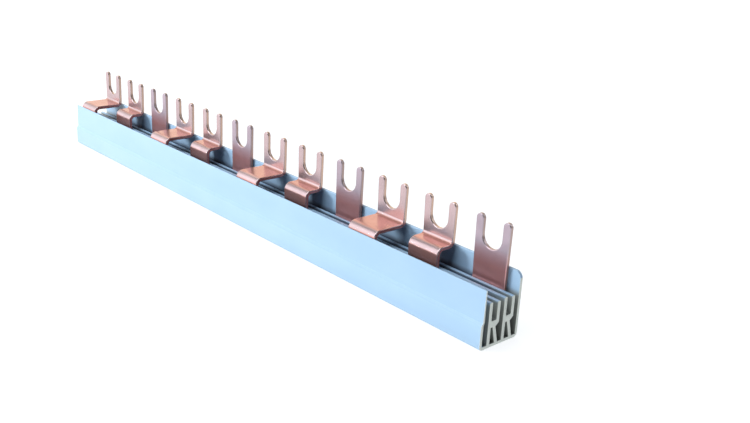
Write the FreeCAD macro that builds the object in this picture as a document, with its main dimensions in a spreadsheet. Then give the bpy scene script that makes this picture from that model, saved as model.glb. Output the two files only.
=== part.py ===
import FreeCAD, Part
import Sketcher
import os

# A three-phase comb busbar for a row of miniature circuit breakers, in millimetres.
# An open extruded insulating profile holds three punched and bent copper bars. The bars stand
# in three channels, one behind another. Their forks take turns along the row, one for each
# breaker, and every fork ends up in the same plane, above the rear channel.
# X runs along the row, Y from the front wall to the back wall, and Z up from the bottom face.
# The origin is in the middle of the bottom.

doc = FreeCAD.newDocument("comb_busbar")

# Driving sizes

SIZES = [
    ("module_pitch", "18.0", "one breaker's width, from one fork to the next"),
    ("phases", "3", "copper bars, and channels for them"),
    ("forks_per_phase", "4", "forks on each bar"),
    ("bar_thick", "1.2", "copper sheet"),
    ("bar_height", "8.0", "height of the strip that joins the forks of one bar"),
    ("bar_pitch", "5.2", "from one channel to the next"),
    ("bar_recess", "2.5", "from the profile's cut end to the strip's end"),
    ("side_gap", "0.1", "free space on each side of a bar in its channel"),
    ("floor_thick", "0.8", "plastic under the channels"),
    ("front_wall", "0.8", "lower part of the front wall"),
    ("lip_wall", "0.5", "foot of the upper part of the front wall"),
    ("lip_lean", "0.2", "how far the upper part's outer face leans in at its top"),
    ("step_height", "6.5", "where the front wall starts to step inwards"),
    ("step_rise", "0.7", "height of the step's slope"),
    ("step_depth", "0.6", "how far the wall steps inwards"),
    ("front_height", "15.5", "top of the front wall"),
    ("back_wall", "0.8", "back wall"),
    ("back_height", "17.2", "top of the back wall"),
    ("edge_round", "0.2", "upper edges of the walls and plates, rounded by the die"),
    ("front_round", "1.0", "front edge of the bottom"),
    ("back_round", "1.2", "rear edge of the bottom"),
    ("corner_round", "2.0", "upper corners of the back wall, at the cut ends"),
    ("plate_thick", "1.0", "plates of the dividers between the channels"),
    ("plate_height", "11.9", "top of a divider's long plate"),
    ("arm_height", "11.6", "top of a divider's arm"),
    ("pocket_height", "6.9", "bottom of the open pocket in a divider's top"),
    ("pocket_round", "0.3", "inner corners at the bottom of the pocket"),
    ("nose_height", "6.1", "lower corner of a divider's arm"),
    ("waist_height", "5.2", "where the leg leaves a divider's waist"),
    ("leg_lean", "1.1", "how far the leg stands in from the arm at the waist"),
    ("flap_gap", "0.8", "from the front wall's top to the underside of a flap"),
    ("bend_round", "2.2", "outside of a bend in the copper"),
    ("fork_height", "11.0", "from the flap's upper face to the fork's tips"),
    ("fork_width", "11.0", "across the two prongs at their tips"),
    ("root_width", "10.4", "across a fork's root"),
    ("slot_width", "6.3", "between the prongs"),
    ("slot_depth", "8.1", "from the tips to the round bottom of the slot"),
    ("tip_round", "1.15", "height of a prong's round end"),
]

sizes = doc.addObject("Spreadsheet::Sheet", "Sizes")
for row, (name, number, meaning) in enumerate(SIZES, start=1):
    sizes.set("A%d" % row, name)
    sizes.set("B%d" % row, number)
    sizes.set("C%d" % row, meaning)
    sizes.setAlias("B%d" % row, name)
doc.recompute()

# Places that several pieces share, worked out from the driving sizes

ROW_LENGTH = "(Sizes.module_pitch * Sizes.phases * Sizes.forks_per_phase)"
FIRST_BAR = "(Sizes.step_depth + Sizes.lip_wall + Sizes.side_gap)"
LAST_BAR = "(%s + (Sizes.phases - 1) * Sizes.bar_pitch)" % FIRST_BAR
BACK_INNER = "(%s + Sizes.bar_thick + Sizes.side_gap)" % LAST_BAR
DEPTH = "(%s + Sizes.back_wall)" % BACK_INNER
FLAP_TOP = "(Sizes.front_height + Sizes.flap_gap + Sizes.bar_thick)"
FORK_TOP = "(%s + Sizes.fork_height)" % FLAP_TOP
STRIP_TOP = "(Sizes.floor_thick + Sizes.bar_height)"


def value(place):
    """Give the number that a place works out to."""
    return float(sizes.evalExpression(place.replace("Sizes.", "")))


# Helpers for bodies and for outlines that are held by the sizes

def new_body(name):
    """Start a piece that is modelled from its own corner and set down on the row's origin."""
    body = doc.addObject("PartDesign::Body", name)
    body.Label = name
    body.setExpression("Placement.Base.x", "-%s / 2" % ROW_LENGTH)
    body.setExpression("Placement.Base.y", "-%s / 2" % DEPTH)
    return body


def base_feature(body, role):
    """Find one of the body's own base planes or axes."""
    return [feature for feature in body.Origin.OriginFeatures if feature.Role == role][0]


def new_sketch(body, name, role, offset="0"):
    """Put an empty sketch on a base plane, moved along the plane's normal."""
    sketch = body.newObject("Sketcher::SketchObject", name)
    sketch.AttachmentSupport = [(base_feature(body, role), "")]
    sketch.MapMode = "FlatFace"
    sketch.setExpression("AttachmentOffset.Base.z", offset)
    return sketch


def hold(sketch, kind, edge, point, place):
    """Hold one point of an edge at a distance from the sketch's origin."""
    index = sketch.addConstraint(Sketcher.Constraint(kind, -1, 1, edge, point, value(place)))
    sketch.setExpression("Constraints[%d]" % index, place)


def short_arc(start, end, height):
    """Make the shorter arc between two points round a centre at the given height.

    The second result says whether the arc runs from start to end.
    """
    rise = (end.y - height) ** 2 - (start.y - height) ** 2
    across = (end.x ** 2 - start.x ** 2 + rise) / (2 * (end.x - start.x))
    centre = FreeCAD.Vector(across, height, 0)
    circle = Part.Circle(centre, FreeCAD.Vector(0, 0, 1), (start - centre).Length)
    forward = (start - centre).cross(end - centre).z > 0
    first, last = (start, end) if forward else (end, start)
    return Part.ArcOfCircle(circle, circle.parameter(first), circle.parameter(last)), forward


def draw_outline(sketch, corners):
    """Close an outline through corners that are each given as places across and up.

    A third place starts an arc to the next corner, and is the height of the arc's centre.
    """
    points = [FreeCAD.Vector(value(corner[0]), value(corner[1]), 0) for corner in corners]
    edges = []
    for number, corner in enumerate(corners):
        start = points[number]
        end = points[(number + 1) % len(points)]
        if len(corner) == 2:
            edge = sketch.addGeometry(Part.LineSegment(start, end), False)
            edges.append((edge, 1, 2))
        else:
            arc, forward = short_arc(start, end, value(corner[2]))
            edge = sketch.addGeometry(arc, False)
            edges.append((edge, 1, 2) if forward else (edge, 2, 1))
            hold(sketch, "DistanceY", edge, 3, corner[2])
    for number, (edge, start_point, end_point) in enumerate(edges):
        before = edges[number - 1]
        joint = Sketcher.Constraint("Coincident", before[0], before[2], edge, start_point)
        sketch.addConstraint(joint)
        hold(sketch, "DistanceX", edge, start_point, corners[number][0])
        hold(sketch, "DistanceY", edge, start_point, corners[number][1])


def pad(body, name, sketch, length):
    """Grow a solid from a sketch, along the sketch's normal."""
    feature = body.newObject("PartDesign::Pad", name)
    feature.Profile = sketch
    feature.setExpression("Length", length)
    return feature


def punch(body, name, waste):
    """Cut a sketch's areas out of the body, backwards from the sketch's plane."""
    feature = body.newObject("PartDesign::Pocket", name)
    feature.Profile = waste
    feature.Type = "ThroughAll"
    return feature


# The insulating profile: one extrusion, 17 mm high, open at the top and at both cut ends

def rounded_top(rear, front, top):
    """List the corners of a wall's top from its rear face to its front face."""
    under = "(%s - Sizes.edge_round)" % top
    return [
        (rear, under, under),
        ("%s - Sizes.edge_round" % rear, top),
        ("%s + Sizes.edge_round" % front, top, under),
        (front, under),
    ]


def rounded_pocket(rear, front):
    """List the corners of a pocket's bottom from its rear side to its front side."""
    above = "(Sizes.pocket_height + Sizes.pocket_round)"
    return [
        (rear, above, above),
        ("%s - Sizes.pocket_round" % rear, "Sizes.pocket_height"),
        ("%s + Sizes.pocket_round" % front, "Sizes.pocket_height", above),
        (front, above),
    ]


def divider_corners(left):
    """List the corners of one divider from its rear foot over its top to its front foot.

    A long plate stands straight up. From its waist an arm rises to carry the pocket's other
    side, with a nose at its lower corner, and a leg runs down and outwards to the floor.
    """
    right = "(%s + Sizes.bar_pitch - Sizes.bar_thick - 2 * Sizes.side_gap)" % left
    arm_inside = "(%s - Sizes.plate_thick)" % right
    plate_inside = "(%s + Sizes.plate_thick)" % left
    foot = [
        (right, "Sizes.floor_thick"),
        ("%s - Sizes.leg_lean" % right, "Sizes.waist_height"),
        (right, "Sizes.nose_height"),
    ]
    arm = rounded_top(right, arm_inside, "Sizes.arm_height")
    pocket = rounded_pocket(arm_inside, plate_inside)
    plate = rounded_top(plate_inside, left, "Sizes.plate_height")
    return foot + arm + pocket + plate + [(left, "Sizes.floor_thick")]


def cell_corners(left):
    """List the corners of the closed cell between a divider's plate and its leg."""
    leg_inside = "(%s + Sizes.bar_pitch - Sizes.bar_thick - 2 * Sizes.side_gap" % left
    leg_inside = leg_inside + " - Sizes.plate_thick)"
    return [
        ("%s + Sizes.plate_thick" % left, "Sizes.floor_thick"),
        (leg_inside, "Sizes.floor_thick"),
        ("%s - Sizes.leg_lean" % leg_inside, "Sizes.waist_height"),
        ("%s + Sizes.plate_thick" % left, "Sizes.waist_height"),
    ]


def divider_left(channel):
    """Give the place of the divider behind a channel, counted from the front."""
    return "(%s + %d * Sizes.bar_pitch + Sizes.bar_thick + Sizes.side_gap)" % (FIRST_BAR, channel)


def make_profile():
    """Extrude the section with its stepped front wall, dividers and tall back wall."""
    body = new_body("insulating_profile")
    section = new_sketch(body, "profile_section", "YZ_Plane")
    step_top = "(Sizes.step_height + Sizes.step_rise)"
    lip_inside = "(Sizes.step_depth + Sizes.lip_wall)"
    lip_outside = "(Sizes.step_depth + Sizes.lip_lean)"
    lip_shoulder = "(Sizes.front_height - Sizes.edge_round)"
    corners = [
        ("Sizes.front_round", "0"),
        ("%s - Sizes.back_round" % DEPTH, "0", "Sizes.back_round"),
        (DEPTH, "Sizes.back_round"),
    ]
    corners = corners + rounded_top(DEPTH, BACK_INNER, "Sizes.back_height")
    corners = corners + [(BACK_INNER, "Sizes.floor_thick")]
    dividers = int(sizes.phases) - 1
    for channel in reversed(range(dividers)):
        corners = corners + divider_corners(divider_left(channel))
    corners = corners + [
        ("Sizes.front_wall", "Sizes.floor_thick"),
        ("Sizes.front_wall", "Sizes.step_height"),
        (lip_inside, step_top),
        (lip_inside, "Sizes.front_height"),
        ("%s + Sizes.edge_round" % lip_outside, "Sizes.front_height", lip_shoulder),
        (lip_outside, lip_shoulder),
        ("Sizes.step_depth", step_top),
        ("0", "Sizes.step_height"),
        ("0", "Sizes.front_round", "Sizes.front_round"),
    ]
    draw_outline(section, corners)
    for channel in range(dividers):
        draw_outline(section, cell_corners(divider_left(channel)))
    pad(body, "profile_extrusion", section, ROW_LENGTH)
    round_back_corners(body)
    return body


def round_back_corners(body):
    """Punch the two upper corners of the back wall round, at the cut ends."""
    waste = new_sketch(body, "back_corner_waste", "XZ_Plane", "-%s" % BACK_INNER)
    start = "(Sizes.back_height - Sizes.corner_round)"
    above = "(Sizes.back_height + Sizes.corner_round)"
    draw_outline(waste, [
        ("0", start, start),
        ("Sizes.corner_round", "Sizes.back_height"),
        ("Sizes.corner_round", above),
        ("-Sizes.corner_round", above),
        ("-Sizes.corner_round", start),
    ])
    draw_outline(waste, [
        ("%s - Sizes.corner_round" % ROW_LENGTH, "Sizes.back_height", start),
        (ROW_LENGTH, start),
        ("%s + Sizes.corner_round" % ROW_LENGTH, start),
        ("%s + Sizes.corner_round" % ROW_LENGTH, above),
        ("%s - Sizes.corner_round" % ROW_LENGTH, above),
    ])
    punch(body, "back_corner_rounds", waste)


# The copper bars: each is a strip with four forks, punched and bent in one piece

def fork_outline(middle):
    """List the corners of the waste that the punch takes away round one fork.

    The fork is a little narrower at its root. Its two prongs end round, and the slot between
    them has a round bottom that meets a screw's shank.
    """
    outside = "(Sizes.module_pitch / 2)"
    root = "(Sizes.root_width / 2)"
    tip = "(Sizes.fork_width / 2)"
    slot = "(Sizes.slot_width / 2)"
    prong = "((%s + %s) / 2)" % (tip, slot)
    shoulder = "(%s - Sizes.tip_round)" % FORK_TOP
    slot_centre = "(%s - Sizes.slot_depth + %s)" % (FORK_TOP, slot)
    above = "(%s + Sizes.bar_thick)" % FORK_TOP
    half = [
        (outside, above),
        (outside, STRIP_TOP),
        (root, STRIP_TOP),
        (tip, shoulder, shoulder),
        (prong, FORK_TOP, shoulder),
        (slot, shoulder),
        (slot, slot_centre, slot_centre),
    ]
    right = [("%s + %s" % (middle, corner[0]),) + corner[1:] for corner in half]
    bottom = [(middle, "%s - %s" % (slot_centre, slot), slot_centre)]
    left = []
    for number in reversed(range(len(half))):
        place = ("%s - %s" % (middle, half[number][0]), half[number][1])
        arc = half[number - 1][2:] if number > 0 else ()
        left.append(place + arc)
    return right + bottom + left


def straight_leg(bar):
    """List the corners of a leg that rises straight out of the rear channel."""
    back = "(%s + Sizes.bar_thick)" % bar
    return [
        (bar, "Sizes.floor_thick"),
        (back, "Sizes.floor_thick"),
        (back, FORK_TOP),
        (bar, FORK_TOP),
    ]


def bent_leg(bar):
    """List the corners of a leg that is bent back over the channels and up again."""
    thick = "Sizes.bar_thick"
    low_centre = "(%s - Sizes.bend_round)" % FLAP_TOP
    high_centre = "(%s + Sizes.bend_round - %s)" % (FLAP_TOP, thick)
    flap_under = "(%s - %s)" % (FLAP_TOP, thick)
    front_centre = "(%s + Sizes.bend_round)" % bar
    rear_centre = "(%s - Sizes.bend_round + %s)" % (LAST_BAR, thick)
    return [
        (bar, "Sizes.floor_thick"),
        ("%s + %s" % (bar, thick), "Sizes.floor_thick"),
        ("%s + %s" % (bar, thick), low_centre, low_centre),
        (front_centre, flap_under),
        (rear_centre, flap_under, high_centre),
        ("%s + %s" % (LAST_BAR, thick), high_centre),
        ("%s + %s" % (LAST_BAR, thick), FORK_TOP),
        (LAST_BAR, FORK_TOP),
        (LAST_BAR, high_centre, high_centre),
        (rear_centre, FLAP_TOP),
        (front_centre, FLAP_TOP, low_centre),
        (bar, low_centre),
    ]


def make_bar(name, channel):
    """Make the bar that stands in one channel, counted from the front."""
    body = new_body(name)
    bar = "(%s + %d * Sizes.bar_pitch)" % (FIRST_BAR, channel)
    is_rear = channel == int(sizes.phases) - 1
    first_fork = "((%d + 0.5) * Sizes.module_pitch)" % channel

    leg_side = new_sketch(body, name + "_leg", "YZ_Plane", "%s - Sizes.fork_width / 2" % first_fork)
    draw_outline(leg_side, straight_leg(bar) if is_rear else bent_leg(bar))
    leg = pad(body, name + "_leg_blank", leg_side, "Sizes.fork_width")

    waste = new_sketch(body, name + "_fork_waste", "XZ_Plane")
    draw_outline(waste, fork_outline(first_fork))
    punched = punch(body, name + "_punched_fork", waste)

    row = body.newObject("PartDesign::LinearPattern", name + "_fork_row")
    row.Originals = [leg, punched]
    row.Direction = (base_feature(body, "X_Axis"), [""])
    row.setExpression("Length", "Sizes.module_pitch * Sizes.phases * (Sizes.forks_per_phase - 1)")
    row.setExpression("Occurrences", "Sizes.forks_per_phase")
    body.Tip = row

    strip_end = new_sketch(body, name + "_strip_end", "YZ_Plane", "Sizes.bar_recess")
    draw_outline(strip_end, [
        (bar, "Sizes.floor_thick"),
        ("%s + Sizes.bar_thick" % bar, "Sizes.floor_thick"),
        ("%s + Sizes.bar_thick" % bar, STRIP_TOP),
        (bar, STRIP_TOP),
    ])
    pad(body, name + "_strip", strip_end, "%s - 2 * Sizes.bar_recess" % ROW_LENGTH)
    return body


pieces = [make_profile()]
for channel, bar_name in enumerate(("front_phase_bar", "middle_phase_bar", "rear_phase_bar")):
    pieces.append(make_bar(bar_name, channel))
doc.recompute()

# Every step has to be sound before anything is written

for item in doc.Objects:
    if "Invalid" in item.State or "Error" in item.State:
        raise RuntimeError("%s failed: %s" % (item.Name, item.State))
for piece in pieces:
    shape = piece.Shape
    if shape.isNull() or not shape.isValid():
        raise RuntimeError("%s has no sound shape" % piece.Label)
    if len(shape.Solids) != 1:
        raise RuntimeError("%s is not one solid" % piece.Label)

os.makedirs("parts", exist_ok=True)
for piece in pieces:
    piece.Shape.exportStep("parts/%s.step" % piece.Label)
    box = piece.Shape.BoundBox
    print("%s: volume %.1f mm3" % (piece.Label, piece.Shape.Volume))
    print("  x %.2f to %.2f, y %.2f to %.2f, z %.2f to %.2f"
          % (box.XMin, box.XMax, box.YMin, box.YMax, box.ZMin, box.ZMax))
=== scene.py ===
# %% [markdown]
# # A comb busbar, dressed for its picture
#
# A comb busbar feeds a row of circuit breakers. Three copper bars hide in a pale plastic profile,
# and each sends up a fork for every third breaker. The construction comes ready made, as a frame
# of four solids at their real size. This lesson gives it the things that a camera sees: the soft
# edges that a press leaves on copper, the sheen of rolled metal, and the marks of an extruder and
# a saw on plastic.
#
# Everything is in metres. X runs along the row, Y from the low front wall to the tall back wall,
# and Z up along the forks.

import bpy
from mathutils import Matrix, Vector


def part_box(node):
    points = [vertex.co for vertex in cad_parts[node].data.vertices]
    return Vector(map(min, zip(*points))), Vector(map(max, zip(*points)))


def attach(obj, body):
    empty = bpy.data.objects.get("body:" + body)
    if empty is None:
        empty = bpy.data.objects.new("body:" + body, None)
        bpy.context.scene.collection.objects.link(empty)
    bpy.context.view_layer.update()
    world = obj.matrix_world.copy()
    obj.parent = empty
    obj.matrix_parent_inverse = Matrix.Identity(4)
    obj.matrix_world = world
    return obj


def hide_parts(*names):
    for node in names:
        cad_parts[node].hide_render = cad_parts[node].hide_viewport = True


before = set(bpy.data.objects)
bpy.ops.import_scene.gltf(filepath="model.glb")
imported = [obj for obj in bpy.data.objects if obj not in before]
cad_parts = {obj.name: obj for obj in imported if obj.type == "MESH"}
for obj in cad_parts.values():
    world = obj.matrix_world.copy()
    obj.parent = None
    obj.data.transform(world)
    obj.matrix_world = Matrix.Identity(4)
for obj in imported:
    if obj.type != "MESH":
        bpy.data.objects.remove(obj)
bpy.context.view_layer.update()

import bmesh
import bpy
import math
from mathutils import Matrix, Vector

MM = 0.001

# %% [markdown]
# ## Places taken from the frame
#
# A piece that is placed by a typed number goes wrong as soon as the construction changes. So the
# places come from the solids' own boxes. The rear bar is flat, which makes its box say a lot: the
# thickness of the copper, the floor of the channels and the height of the fork tips. Only the
# sizes that no box can tell, such as the width of a slot, are typed here once more.

# %% Measure the solids
PROFILE = "insulating_profile"
BARS = ("front_phase_bar", "middle_phase_bar", "rear_phase_bar")
STRAIGHT_BAR = BARS[-1]

rear_low, rear_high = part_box(STRAIGHT_BAR)
COPPER = rear_high.y - rear_low.y
FORK_PLANE = (rear_low.y + rear_high.y) / 2
STRIP_LOW = rear_low.z
FORK_TOP = rear_high.z
STRIP_LEFT, STRIP_RIGHT = rear_low.x, rear_high.x

profile_low, profile_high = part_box(PROFILE)
ROW_LENGTH = profile_high.x - profile_low.x
print("copper %.2f mm, fork tips at %.2f mm" % (COPPER / MM, FORK_TOP / MM))

# %% Name the sizes that the boxes don't tell
FORKS_PER_BAR = 4
PITCH = ROW_LENGTH / (FORKS_PER_BAR * len(BARS))
STRIP_HEIGHT = 8.0 * MM
STRIP_TOP = STRIP_LOW + STRIP_HEIGHT
FORK_HEIGHT = 11.0 * MM
TIP_WIDTH = 11.0 * MM
ROOT_WIDTH = 10.4 * MM
SLOT_WIDTH = 6.3 * MM
SLOT_DEPTH = 8.1 * MM
BEND_OUTSIDE = 2.2 * MM
BEND_MIDDLE = BEND_OUTSIDE - COPPER / 2
FLAP_TOP = FORK_TOP - FORK_HEIGHT
FLAP_MIDDLE = FLAP_TOP - COPPER / 2
FOLD_LOW = FLAP_MIDDLE - BEND_MIDDLE
FOLD_HIGH = FLAP_MIDDLE + BEND_MIDDLE
PRONG_ROUND = (TIP_WIDTH - SLOT_WIDTH) / 4
SHOULDER = FORK_TOP - PRONG_ROUND
print("module pitch %.2f mm, flap at %.2f mm" % (PITCH / MM, FLAP_TOP / MM))

# %% [markdown]
# ## A bar is a sheet before it is a bar
#
# The real bar starts as a flat copper strip. A press cuts out the comb, and a folding tool sends
# some of its legs back over their neighbours. The model takes the same way. It is first a sheet
# without thickness, in the middle of the metal: an edge is pulled along to make the strip, pulled
# up to make a leg, and swung about an axis wherever the metal is folded. The spin operator makes
# such a fold in one call, with as many facets as the light needs to run smoothly round it.
# Modelling the thick metal straight away would mean keeping two sides in step at every fold.

# %% Pull an edge along
FOLD_STEPS = 10
TIP_STEPS = 14
SLOT_STEPS = 14


def pulled(mesh, edge, reach):
    """Extrude one edge by a vector and return the new edge."""
    made = bmesh.ops.extrude_edge_only(mesh, edges=[edge])["geom"]
    corners = [part for part in made if isinstance(part, bmesh.types.BMVert)]
    bmesh.ops.translate(mesh, verts=corners, vec=reach)
    return [part for part in made if isinstance(part, bmesh.types.BMEdge)
            and part.verts[0] in corners and part.verts[1] in corners][0]


def folded(mesh, edge, centre, angle):
    """Swing one edge about an axis along the row and return the last edge."""
    swung = bmesh.ops.spin(mesh, geom=[edge], cent=centre, axis=(1, 0, 0), angle=angle,
                           steps=FOLD_STEPS, use_merge=False, use_duplicate=False)
    return [part for part in swung["geom_last"] if isinstance(part, bmesh.types.BMEdge)][0]


def set_width(edge, middle, width):
    """Move an edge's two ends to half the width on each side of the middle."""
    for corner in edge.verts:
        side = 1 if corner.co.x > middle else -1
        corner.co.x = middle + side * width / 2


# %% [markdown]
# ## The fork
#
# A fork slips over the shank of a terminal screw. Its slot ends round, so it seats on the screw,
# and its two prongs end round, so they find their way into the clamp. Only one half is drawn: a
# corner is pulled up the outside, swung over the prong, pulled down the slot and swung to the
# slot's lowest point. The mirror operator gives the other half, and one flat face fills the
# outline. The fork is a little narrower at its root than at its tips, as on the real one.

# %% Draw a fork on an edge
def corner_pulled(mesh, corner, place):
    """Extrude one corner to a place and return the new corner."""
    made = bmesh.ops.extrude_vert_indiv(mesh, verts=[corner])["verts"][0]
    made.co = place
    return made


def corner_swung(mesh, corner, centre, angle, steps):
    """Swing one corner about an axis through the sheet and return the last corner."""
    swung = bmesh.ops.spin(mesh, geom=[corner], cent=centre, axis=(0, 1, 0), angle=angle,
                           steps=steps, use_merge=False, use_duplicate=False)
    return [part for part in swung["geom_last"] if isinstance(part, bmesh.types.BMVert)][0]


def add_fork(mesh, root, middle):
    """Grow a fork with two prongs from its root edge, in the plane of all the forks."""
    before = set(mesh.edges)
    right = max(root.verts, key=lambda corner: corner.co.x)
    left = min(root.verts, key=lambda corner: corner.co.x)
    outside = middle + TIP_WIDTH / 2
    inside = middle + SLOT_WIDTH / 2
    plane = right.co.y
    slot_centre = FORK_TOP - SLOT_DEPTH + SLOT_WIDTH / 2

    corner = corner_pulled(mesh, right, Vector((outside, plane, SHOULDER)))
    prong_centre = Vector(((outside + inside) / 2, plane, SHOULDER))
    corner = corner_swung(mesh, corner, prong_centre, -math.pi, TIP_STEPS)
    corner = corner_pulled(mesh, corner, Vector((inside, plane, slot_centre)))
    slot_axis = Vector((middle, plane, slot_centre))
    corner = corner_swung(mesh, corner, slot_axis, math.pi / 2, SLOT_STEPS)

    half = [edge for edge in mesh.edges if edge not in before]
    copied = bmesh.ops.duplicate(mesh, geom=half)
    twins = [part for part in copied["geom"] if isinstance(part, bmesh.types.BMVert)]
    about_middle = Matrix.Translation((-middle, 0, 0))
    bmesh.ops.scale(mesh, verts=twins, vec=(-1, 1, 1), space=about_middle)
    twin_of = copied["vert_map"]
    bmesh.ops.weld_verts(mesh, targetmap={twin_of[right]: left, twin_of[corner]: corner})
    outline = [edge for edge in mesh.edges if edge not in before]
    bmesh.ops.contextual_create(mesh, geom=outline + [root])


# %% [markdown]
# ## The strip, the legs and the folds
#
# The strip lies in its channel on edge. It is one upright edge, pulled from leg to leg, so that
# each leg finds its own edge to grow from. A leg of the rear bar goes straight up into its fork.
# A leg of the other bars is folded back by a quarter turn, runs over its neighbours as a flap,
# and is folded up again into the plane that all the forks share.

# %% Lay the strip
def leg_middles(channel):
    """List the places of one bar's legs along the row, from the left."""
    first = profile_low.x + (channel + 0.5) * PITCH
    return [first + number * PITCH * len(BARS) for number in range(FORKS_PER_BAR)]


def edge_at(mesh, place):
    """Find the edge whose centre lies nearest to a place."""
    return min(mesh.edges, key=lambda edge: ((edge.verts[0].co + edge.verts[1].co) / 2 - place).length)


def add_strip(mesh, plane, middles):
    """Pull the strip from end to end and return the upper edge of each leg's stretch."""
    low = mesh.verts.new((STRIP_LEFT, plane, STRIP_LOW))
    high = mesh.verts.new((STRIP_LEFT, plane, STRIP_TOP))
    upright = mesh.edges.new((low, high))
    stops = []
    for middle in middles:
        stops += [middle - ROOT_WIDTH / 2, middle + ROOT_WIDTH / 2]
    for stop in stops + [STRIP_RIGHT]:
        upright = pulled(mesh, upright, Vector((stop - upright.verts[0].co.x, 0, 0)))
    return [edge_at(mesh, Vector((middle, plane, STRIP_TOP))) for middle in middles]


# %% Raise the legs
def width_at(height):
    """Give a leg's width at a height: it widens evenly from the root to the prongs."""
    share = (height - STRIP_TOP) / (SHOULDER - STRIP_TOP)
    return ROOT_WIDTH + share * (TIP_WIDTH - ROOT_WIDTH)


def add_straight_leg(mesh, root, middle):
    """Raise a leg to the height where the bent ones have come up again."""
    edge = pulled(mesh, root, Vector((0, 0, FOLD_HIGH - STRIP_TOP)))
    set_width(edge, middle, width_at(FOLD_HIGH))
    return edge


def add_bent_leg(mesh, root, middle, plane):
    """Raise a leg, fold it back, run the flap to the fork plane and fold it up again."""
    edge = pulled(mesh, root, Vector((0, 0, FOLD_LOW - STRIP_TOP)))
    set_width(edge, middle, width_at(FLAP_MIDDLE))
    edge = folded(mesh, edge, Vector((middle, plane + BEND_MIDDLE, FOLD_LOW)), -math.pi / 2)
    flap = FORK_PLANE - plane - 2 * BEND_MIDDLE
    edge = pulled(mesh, edge, Vector((0, flap, 0)))
    centre = Vector((middle, FORK_PLANE - BEND_MIDDLE, FOLD_HIGH))
    return folded(mesh, edge, centre, math.pi / 2)


# %% Build one bar as a sheet
def bar_sheet(name, channel):
    """Make one bar as a bmesh without thickness."""
    mesh = bmesh.new()
    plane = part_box(name)[0].y + COPPER / 2
    middles = leg_middles(channel)
    for root, middle in zip(add_strip(mesh, plane, middles), middles):
        if name == STRAIGHT_BAR:
            root = add_straight_leg(mesh, root, middle)
        else:
            root = add_bent_leg(mesh, root, middle, plane)
        add_fork(mesh, root, middle)
    bmesh.ops.recalc_face_normals(mesh, faces=mesh.faces)
    return mesh


# %% [markdown]
# ## From sheet to metal
#
# A Solidify modifier gives the sheet its thickness, half to each side, and marks the cut faces
# with a material of their own, because sheared copper looks unlike rolled copper. A Bevel modifier
# then rounds every sharp edge, as the press does when it draws the metal in. Its faces take a
# third material, painted paler than the sheet as a painted highlight along the edge. Hardened
# normals keep the flat faces flat in the light.

# %% Put a piece in the scene
def put_in_scene(name, data):
    """Make an object of a mesh, a lamp or a camera and link it to the scene."""
    item = bpy.data.objects.new(name, data)
    bpy.context.scene.collection.objects.link(item)
    return item


def dressed(name, mesh, finishes):
    """Turn a bmesh into an object that wears its finishes."""
    data = bpy.data.meshes.new(name)
    mesh.to_mesh(data)
    mesh.free()
    for finish in finishes:
        data.materials.append(finish)
    data.shade_smooth()
    return put_in_scene(name, data)


# %% Thicken and round
# A bar wears its finishes in this order: the sheet's, the cut faces' and the rounded edges'.
SURFACES = ("rolled", "sheared", "painted_edge_highlight")
PRESS_ROUND = 0.28 * MM
PRESSED_ANGLE = math.radians(50)
ROUND_STEPS = 3


def rounded(piece, name, width, limit):
    """Round a piece's edges with a Bevel modifier and return the modifier."""
    edges = piece.modifiers.new(name, "BEVEL")
    edges.width = width
    edges.segments = ROUND_STEPS
    edges.limit_method = limit
    edges.harden_normals = True
    return edges


def thickened(name, mesh, finishes):
    """Turn a sheet into an object of solid copper."""
    piece = dressed(name, mesh, finishes)
    wall = piece.modifiers.new("copper_thickness", "SOLIDIFY")
    wall.thickness = COPPER
    wall.offset = 0
    wall.use_even_offset = True
    wall.material_offset_rim = SURFACES.index("sheared")
    edges = rounded(piece, "press_round", PRESS_ROUND, "ANGLE")
    edges.angle_limit = PRESSED_ANGLE
    edges.material = SURFACES.index("painted_edge_highlight")
    return piece


# %% [markdown]
# ## Wires with arithmetic
#
# A finish is a small sum over a surface: some noise, times a strength, plus a base value. Written
# as nodes that is a long list of boxes and links, so three helpers keep it short. A Signal wraps
# one socket and understands plus, minus, times and the two comparisons, and each operation adds
# its Math node. A Wiring adds every other kind of node through a single method. A Finish is the
# wiring of one material.

# %% Wrap a socket
class Signal:
    """A number on its way through a node tree."""

    def __init__(self, wiring, socket):
        self.wiring = wiring
        self.socket = socket

    def math(self, operation, first, second):
        """Add a Math node and return what comes out of it."""
        node = self.wiring.add("ShaderNodeMath", {0: first, 1: second}, operation=operation)
        return Signal(self.wiring, node.outputs[0])

    def __add__(self, other):
        return self.math("ADD", self, other)

    __radd__ = __add__

    def __sub__(self, other):
        return self.math("SUBTRACT", self, other)

    def __rsub__(self, other):
        return self.math("SUBTRACT", other, self)

    def __mul__(self, other):
        return self.math("MULTIPLY", self, other)

    __rmul__ = __mul__

    def __gt__(self, other):
        return self.math("GREATER_THAN", self, other)

    def __lt__(self, other):
        return self.math("LESS_THAN", self, other)


# %% Wrap a node tree
# A Mix node lists its sockets once for every kind of data, so those for colours go by number.
MIX_SHARE, MIX_FIRST, MIX_SECOND = 0, 6, 7
MIX_RESULT = 2


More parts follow.
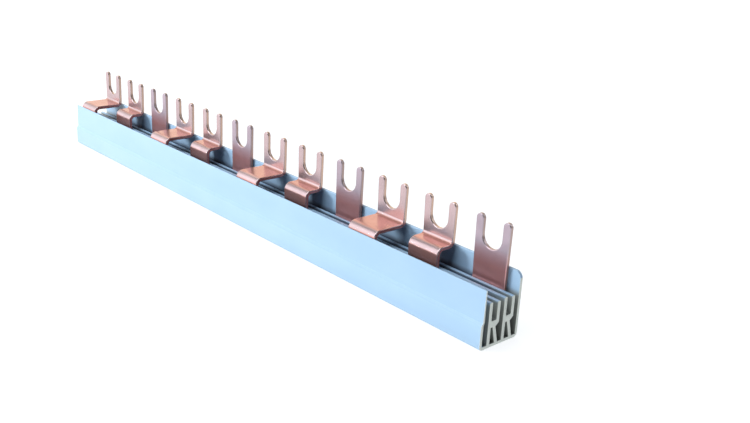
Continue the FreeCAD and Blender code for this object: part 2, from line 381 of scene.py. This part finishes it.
class Wiring:
    """A node tree with short ways to add to it."""

    def __init__(self, tree):
        self.tree = tree

    def add(self, kind, sockets, **settings):
        """Add a node with its settings, then give each named socket its value or its link."""
        node = self.tree.nodes.new(kind)
        for name, setting in settings.items():
            setattr(node, name, setting)
        for name, wanted in sockets.items():
            self.feed(node.inputs[name], wanted)
        return node

    def feed(self, socket, wanted):
        """Link a socket to a signal or to another socket, or set it to a value."""
        if isinstance(wanted, Signal):
            wanted = wanted.socket
        if isinstance(wanted, bpy.types.NodeSocket):
            self.tree.links.new(wanted, socket)
        else:
            socket.default_value = wanted

    def part(self, vector, letter):
        """Read one part of a vector."""
        split = self.add("ShaderNodeSeparateXYZ", {0: vector})
        return Signal(self, split.outputs[letter])

    def spread(self, signal, low, high):
        """Stretch the part of a signal between low and high over 0 to 1."""
        node = self.add("ShaderNodeMapRange", {"Value": signal, "From Min": low, "From Max": high})
        return Signal(self, node.outputs["Result"])

    def blend(self, share, first, second):
        """Mix two colours by a share."""
        sockets = {MIX_SHARE: share, MIX_FIRST: first, MIX_SECOND: second}
        return self.add("ShaderNodeMix", sockets, data_type="RGBA").outputs[MIX_RESULT]


# %% Wrap a material
NOISE_ROUGHNESS = 0.55


class Finish(Wiring):
    """One material in the making."""

    def __init__(self, name):
        self.material = bpy.data.materials.new(name)
        self.material.use_nodes = True
        super().__init__(self.material.node_tree)
        self.shader = self.tree.nodes["Principled BSDF"]
        places = self.add("ShaderNodeTexCoord", {})
        self.place = places.outputs["Object"]
        self.facing = places.outputs["Normal"]

    def give(self, name, wanted):
        """Give one of the shader's sockets its value or its link."""
        self.feed(self.shader.inputs[name], wanted)

    def noise(self, cells, detail):
        """Read a noise with so many cells per metre along X, Y and Z."""
        scaled = self.add("ShaderNodeMapping", {"Vector": self.place, "Scale": cells})
        node = self.add("ShaderNodeTexNoise", {"Vector": scaled.outputs[0], "Scale": 1.0,
                                               "Detail": detail, "Roughness": NOISE_ROUGHNESS})
        return Signal(self, node.outputs["Fac"])

    def wear(self, colour, roughness, height, depth):
        """Send the finished signals to the shader, the height as a bump of a real depth."""
        self.give("Base Color", colour)
        self.give("Roughness", roughness)
        bump = self.add("ShaderNodeBump", {"Height": height, "Distance": depth, "Strength": 1.0})
        self.give("Normal", bump.outputs["Normal"])
        return self.material


def paint(red, green, blue):
    """Give an opaque colour."""
    return (red, green, blue, 1.0)


# %% [markdown]
# ## Copper, three ways
#
# Rolled copper carries fine lines along the strip and a thin uneven tarnish. Where the punch
# sheared it, the metal is torn across its thickness, duller and redder. Its rounded edges are
# painted a little paler, a painted highlight along every edge. Low down and on the flaps the copper
# is a warm red, and the forks are a pale mauve; on the bent bars the outside of each fold is painted
# pale mauve too, a painted highlight where the fold's bright line falls. So every finish takes two
# colours in turn by height. The straight bar comes from another coil, less shiny than the two bent
# ones, and its colour changes slowly over several millimetres.

# %% Mix one copper
METAL_SHARE = 0.85
TARNISH_CLOUDS = (160, 160, 160)
TARNISH_FROM, TARNISH_TO = 0.36, 0.66
TARNISH_KEEPS = 0.9
TARNISH_DULLS = 0.05
BANDS_WANDER = 0.4 * MM


def copper(name, red_tone, mauve_tone, turns, smooth, grain, grain_depth):
    """Make bare copper with a tarnish and a grain, in two colours that take turns by height."""
    finish = Finish(name)
    finish.give("Metallic", METAL_SHARE)
    clouds = finish.noise(TARNISH_CLOUDS, detail=2.0)
    lines = finish.noise(grain, detail=1.0)
    height = finish.part(finish.place, "Z") + clouds * BANDS_WANDER
    mauve_share = 0.0
    for start, end, way in turns:
        mauve_share = finish.spread(height, start, end) * way + mauve_share
    bright = finish.blend(mauve_share, paint(*red_tone), paint(*mauve_tone))
    dull = finish.blend(mauve_share, *[paint(*[part * TARNISH_KEEPS for part in colour])
                                for colour in (red_tone, mauve_tone)])
    tarnish = finish.spread(clouds, TARNISH_FROM, TARNISH_TO)
    colour = finish.blend(tarnish, bright, dull)
    return finish.wear(colour, smooth + tarnish * TARNISH_DULLS, lines, grain_depth)


# %% Mix the three finishes of one coil
ALONG_ROW = (60, 1400, 1400)
ACROSS_SHEET = (2500, 150, 2500)
ROLLED_GRAIN = 0.002 * MM
TORN_GRAIN = 0.02 * MM
TORN_ROUGHNESS = 0.38
# The rounded edges take the rolled colours lifted paler: a painted highlight along every edge.
EDGE_HIGHLIGHT_LIFT, EDGE_HIGHLIGHT_KEEPS = 0.08, 0.88


def copper_coil(coil, turns, smooth, rolled, sheared):
    """Mix a coil's finishes, each from its red and its mauve tone, in the surfaces' order."""
    painted_edge_highlight = [[EDGE_HIGHLIGHT_LIFT + part * EDGE_HIGHLIGHT_KEEPS for part in colour] for colour in rolled]
    return [
        copper(coil + "_rolled", *rolled, turns, smooth, ALONG_ROW, ROLLED_GRAIN),
        copper(coil + "_sheared", *sheared, turns[-1:], TORN_ROUGHNESS, ACROSS_SHEET, TORN_GRAIN),
        copper(coil + "_burnished", *painted_edge_highlight, turns, smooth, ALONG_ROW, ROLLED_GRAIN),
    ]


# %% Mix the two coils
# A turn holds the height where it starts, the height where it ends, and its way.
TO_MAUVE, TO_RED = 1, -1
# On the bent bars the first turn paints the lower fold's outside pale mauve, a painted highlight where
# its bright line falls; the flap turns red again, and the last turn gives the upper fold, also a
# painted highlight, and the forks their mauve.
bent_turns = (
    (FOLD_LOW + 0.5 * MM, FOLD_LOW + 1.0 * MM, TO_MAUVE),
    (FLAP_TOP - 0.1 * MM, FLAP_TOP + 0.2 * MM, TO_RED),
    (FLAP_TOP + 0.35 * MM, FLAP_TOP + 0.8 * MM, TO_MAUVE),
)
straight_turns = ((FLAP_TOP - 1 * MM, FLAP_TOP + 4 * MM, TO_MAUVE),)
bent_coil = copper_coil("bent_copper", bent_turns, smooth=0.20,
                        rolled=((0.67, 0.32, 0.265), (0.61, 0.455, 0.465)),
                        sheared=((0.62, 0.24, 0.22), (0.70, 0.49, 0.38)))
straight_coil = copper_coil("straight_copper", straight_turns, smooth=0.30,
                            rolled=((0.82, 0.37, 0.34), (0.52, 0.42, 0.48)),
                            sheared=((0.50, 0.26, 0.22), (0.50, 0.37, 0.33)))
print("copper finishes", [finish.name for finish in bent_coil + straight_coil])

# %% Press the three bars
for channel, name in enumerate(BARS):
    coil = straight_coil if name == STRAIGHT_BAR else bent_coil
    piece = thickened(name + "_copper", bar_sheet(name, channel), coil)
    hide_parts(name)
    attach(piece, "root")
    print(name, "sheet faces", len(piece.data.polygons))

# %% [markdown]
# ## Extruded plastic and its sawn ends
#
# The profile is rigid plastic, pushed through a die, so faint lines run along its whole length.
# Its ends are sawn: matt, greyer, and crossed by the marks of the blade. Down in the channels the
# plastic is painted a darker blue grey, a painted shade where little light gets in, and this painted
# shade is paler close to the ends, where light reaches in; the tops of the dividers keep the colour
# of the outside. All this is one piece, so one material holds every look, and the place on the piece
# decides which one shows.

# %% Tell the places on the profile apart
CHANNELS_FROM = profile_low.y + 1.5 * MM
CHANNELS_TO = profile_high.y - 0.4 * MM
DIVIDER_TOP = 11.9 * MM
SHADE_PAINT_FROM = DIVIDER_TOP + 0.5 * MM
SHADE_PAINT_FULL = DIVIDER_TOP - 1.0 * MM
FACES_UP = 0.5
SAWN_FROM = ROW_LENGTH / 2 - 0.05 * MM
DAYLIGHT_REACH = 10 * MM


def profile_places(finish):
    """Give signals for the sawn ends, for the painted shade in the channels and for nearness to an
    end.
    """
    along = finish.part(finish.place, "X")
    across = finish.part(finish.place, "Y")
    height = finish.part(finish.place, "Z")
    upward = finish.part(finish.facing, "Z")
    from_middle = along * along
    sawn = from_middle > SAWN_FROM ** 2
    near_end = finish.spread(from_middle, (SAWN_FROM - DAYLIGHT_REACH) ** 2, SAWN_FROM ** 2)
    inside = (across > CHANNELS_FROM) * (across < CHANNELS_TO)
    # Painted shade: inside the channels the colour darkens below the tops of the dividers.
    painted_shade_depth = finish.spread(height, SHADE_PAINT_FROM, SHADE_PAINT_FULL)
    divider_tops = (upward > FACES_UP) * (height > SHADE_PAINT_FULL)
    return sawn, inside * painted_shade_depth * (1 - divider_tops), near_end


# %% Mix the plastic
DIE_LINES = (4, 2200, 2200)
SAW_MARKS = (1, 700, 7000)
SKIN_CLOUDS = (60, 120, 120)
CLOUDS_FROM, CLOUDS_TO = 0.3, 0.7
SKIN = (paint(0.315, 0.475, 0.645), paint(0.34, 0.50, 0.67))
# Painted shade for the channels: dark blue grey inside, paler near the sawn ends where light reaches
# in.
PAINTED_CHANNEL_SHADE = (paint(0.10, 0.13, 0.19), paint(0.24, 0.26, 0.24))
CUT = (paint(0.68, 0.73, 0.68), paint(0.82, 0.86, 0.80))
SATIN_ROUGHNESS = 0.36
LINES_DULL = 0.08
SAW_DULLS = 0.25
LINE_DEPTH = 0.003 * MM
SAW_DEEPER = 3


def plastic():
    """Make pale satin plastic, with painted shade in the channels and saw marks on its two cut ends.
    """
    finish = Finish("extruded_plastic")
    sawn, shaded, near_end = profile_places(finish)
    lines = finish.noise(DIE_LINES, detail=3.0)
    marks = finish.noise(SAW_MARKS, detail=2.0)
    clouds = finish.spread(finish.noise(SKIN_CLOUDS, detail=2.0), CLOUDS_FROM, CLOUDS_TO)
    outside = finish.blend(clouds, *SKIN)
    # The painted shade of the channels, paler towards the ends.
    channel_shade_paint = finish.blend(near_end, *PAINTED_CHANNEL_SHADE)
    uncut = finish.blend(shaded, outside, channel_shade_paint)
    colour = finish.blend(sawn, uncut, finish.blend(marks, *CUT))
    roughness = SATIN_ROUGHNESS + lines * LINES_DULL + sawn * SAW_DULLS
    relief = lines * (1 - sawn) + marks * sawn * SAW_DEEPER
    return finish.wear(colour, roughness, relief, LINE_DEPTH)


# %% [markdown]
# ## Softening the profile
#
# The profile's shape is right as it stands, but a die rounds every corner a little, and without
# that no edge catches the light. The frame's own mesh must stay as it is, so the work is done on a
# copy: its loose triangles are merged, the flat faces are dissolved into large ones, and a Bevel
# modifier rounds what is left.

# %% Copy and round the profile
DIE_ROUND = 0.12 * MM
SAME_PLACE = 0.001 * MM
SAME_PLANE = math.radians(1)
CREASE = math.radians(20)
NARROW = 0.25 * MM
END_FACE = 0.9
SAWN_WEIGHT, DIE_WEIGHT = 0.5, 1.0


def width_of(face):
    """Give a long face's mean width."""
    return face.calc_area() / max(edge.calc_length() for edge in face.edges)


def weigh_edges(mesh):
    """Mark how much each sharp edge is rounded: less at a cut end, not at all on a fine arc."""
    weight = mesh.edges.layers.float.new("bevel_weight_edge")
    for edge in mesh.edges:
        if not edge.is_manifold or edge.calc_face_angle() < CREASE:
            continue
        if any(abs(face.normal.x) > END_FACE for face in edge.link_faces):
            edge[weight] = SAWN_WEIGHT
        elif all(width_of(face) > NARROW for face in edge.link_faces):
            edge[weight] = DIE_WEIGHT


def softened_copy(node, name, finish):
    """Copy a solid, clean its faces and round its edges."""
    mesh = bmesh.new()
    mesh.from_mesh(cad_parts[node].data)
    bmesh.ops.remove_doubles(mesh, verts=mesh.verts, dist=SAME_PLACE)
    bmesh.ops.dissolve_limit(mesh, angle_limit=SAME_PLANE, verts=mesh.verts, edges=mesh.edges,
                             delimit=set())
    weigh_edges(mesh)
    piece = dressed(name, mesh, [finish])
    rounded(piece, "die_round", DIE_ROUND, "WEIGHT")
    return piece


profile = softened_copy(PROFILE, "insulating_profile_plastic", plastic())
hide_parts(PROFILE)
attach(profile, "root")
print("profile faces", len(profile.data.polygons))

# %% [markdown]
# ## Floor, light and camera
#
# The busbar stands on a pale floor that gives off light of its own, so that it stays white without
# being lit hard. Copper is a mirror with a colour, so what matters is what it has to reflect. The
# flat fronts of the forks mirror that floor. A cool patch of wall at the left draws the bright
# line along each fold, and a warmer one behind gives the flaps their cream. The small key lamp
# throws the shadows of the legs on the back wall, but the copper doesn't mirror it. The camera
# itself sees a plain white backdrop.

# %% Lay the floor
FLOOR_REACH = 4.0
FLOOR_ROUGHNESS = 0.8
FLOOR_GLOW = 0.82


def add_floor():
    """Lay a wide pale floor under the busbar."""
    mesh = bmesh.new()
    bmesh.ops.create_grid(mesh, x_segments=1, y_segments=1, size=FLOOR_REACH)
    finish = Finish("pale_floor")
    finish.give("Base Color", paint(0.25, 0.25, 0.25))
    finish.give("Roughness", FLOOR_ROUGHNESS)
    finish.give("Emission Color", paint(0.98, 1.0, 1.02))
    finish.give("Emission Strength", FLOOR_GLOW)
    dressed("floor", mesh, [finish.material])


add_floor()

# %% Hang the lamps
def add_lamp(name, place, width, power, colour):
    """Hang a square soft lamp that faces the middle of the row."""
    data = bpy.data.lights.new(name, "AREA")
    data.shape = "SQUARE"
    data.size = width
    data.energy = power
    data.color = colour
    lamp = put_in_scene(name, data)
    lamp.location = place
    lamp.rotation_euler = (-Vector(place)).to_track_quat("-Z", "Y").to_euler()
    return lamp


key = add_lamp("left_key", (-0.62, -0.80, 0.28), width=0.25, power=9.0, colour=(1.0, 1.0, 1.0))
key.visible_glossy = False
add_lamp("top_softbox", (-0.1, -0.45, 0.95), width=0.8, power=7.5, colour=(0.97, 1.0, 1.04))
add_lamp("back_softbox", (0.45, 0.85, 0.50), width=0.6, power=2.5, colour=(0.90, 1.0, 1.12))
print("lamps", [lamp.name for lamp in bpy.data.lights])

# %% Paint the studio's walls
COOL_POWER, WARM_POWER, WALL_POWER = 1.75, 1.2, 0.04

world = bpy.data.worlds.new("studio")
world.use_nodes = True
studio = Wiring(world.node_tree)
look = studio.add("ShaderNodeTexCoord", {}).outputs["Generated"]


def glow(towards, inner, outer):
    """Light up the part of the wall that lies around one direction."""
    sockets = {0: look, 1: Vector(towards).normalized()}
    node = studio.add("ShaderNodeVectorMath", sockets, operation="DOT_PRODUCT")
    return studio.spread(Signal(studio, node.outputs["Value"]), outer, inner)


cool_wall = glow(towards=(-0.69, -0.67, 0.25), inner=0.97, outer=0.76)
warm_wall = glow(towards=(-0.72, 0.64, 0.28), inner=0.90, outer=0.50)
wall_light = cool_wall * COOL_POWER + warm_wall * WARM_POWER + WALL_POWER
tint = studio.blend(warm_wall, paint(0.97, 1.0, 1.03), paint(1.04, 0.99, 0.86))
seen = Signal(studio, studio.add("ShaderNodeLightPath", {}).outputs["Is Camera Ray"])
backdrop = world.node_tree.nodes["Background"]
studio.feed(backdrop.inputs["Color"], studio.blend(seen, tint, paint(1.0, 1.0, 1.0)))
studio.feed(backdrop.inputs["Strength"], wall_light * (1 - seen) + seen)
bpy.context.scene.world = world
bpy.context.scene.view_settings.view_transform = "Standard"

# %% Set up the camera
PHOTO_WIDTH = 750
FOCAL_PIXELS = 909
CAMERA_PLACE = Vector((231.0, -156.0, 101.8)) * MM
CAMERA_AZIMUTH = math.radians(47.3)
CAMERA_ELEVATION = math.radians(19.55)
CAMERA_ROLL = math.radians(2.94)
SENSOR_WIDTH = 36.0
NEAREST_SEEN = 0.01


def add_camera():
    """Stand the camera where the picture was taken from."""
    data = bpy.data.cameras.new("camera")
    data.sensor_width = SENSOR_WIDTH
    data.lens = FOCAL_PIXELS / PHOTO_WIDTH * SENSOR_WIDTH
    data.clip_start = NEAREST_SEEN
    camera = put_in_scene("camera", data)
    around = Matrix.Rotation(CAMERA_AZIMUTH, 4, "Z")
    tilted = Matrix.Rotation(math.pi / 2 - CAMERA_ELEVATION, 4, "X")
    turned = around @ tilted @ Matrix.Rotation(CAMERA_ROLL, 4, "Z")
    camera.matrix_world = Matrix.Translation(CAMERA_PLACE) @ turned
    bpy.context.scene.camera = camera
    print("lens %.1f mm" % data.lens)


add_camera()
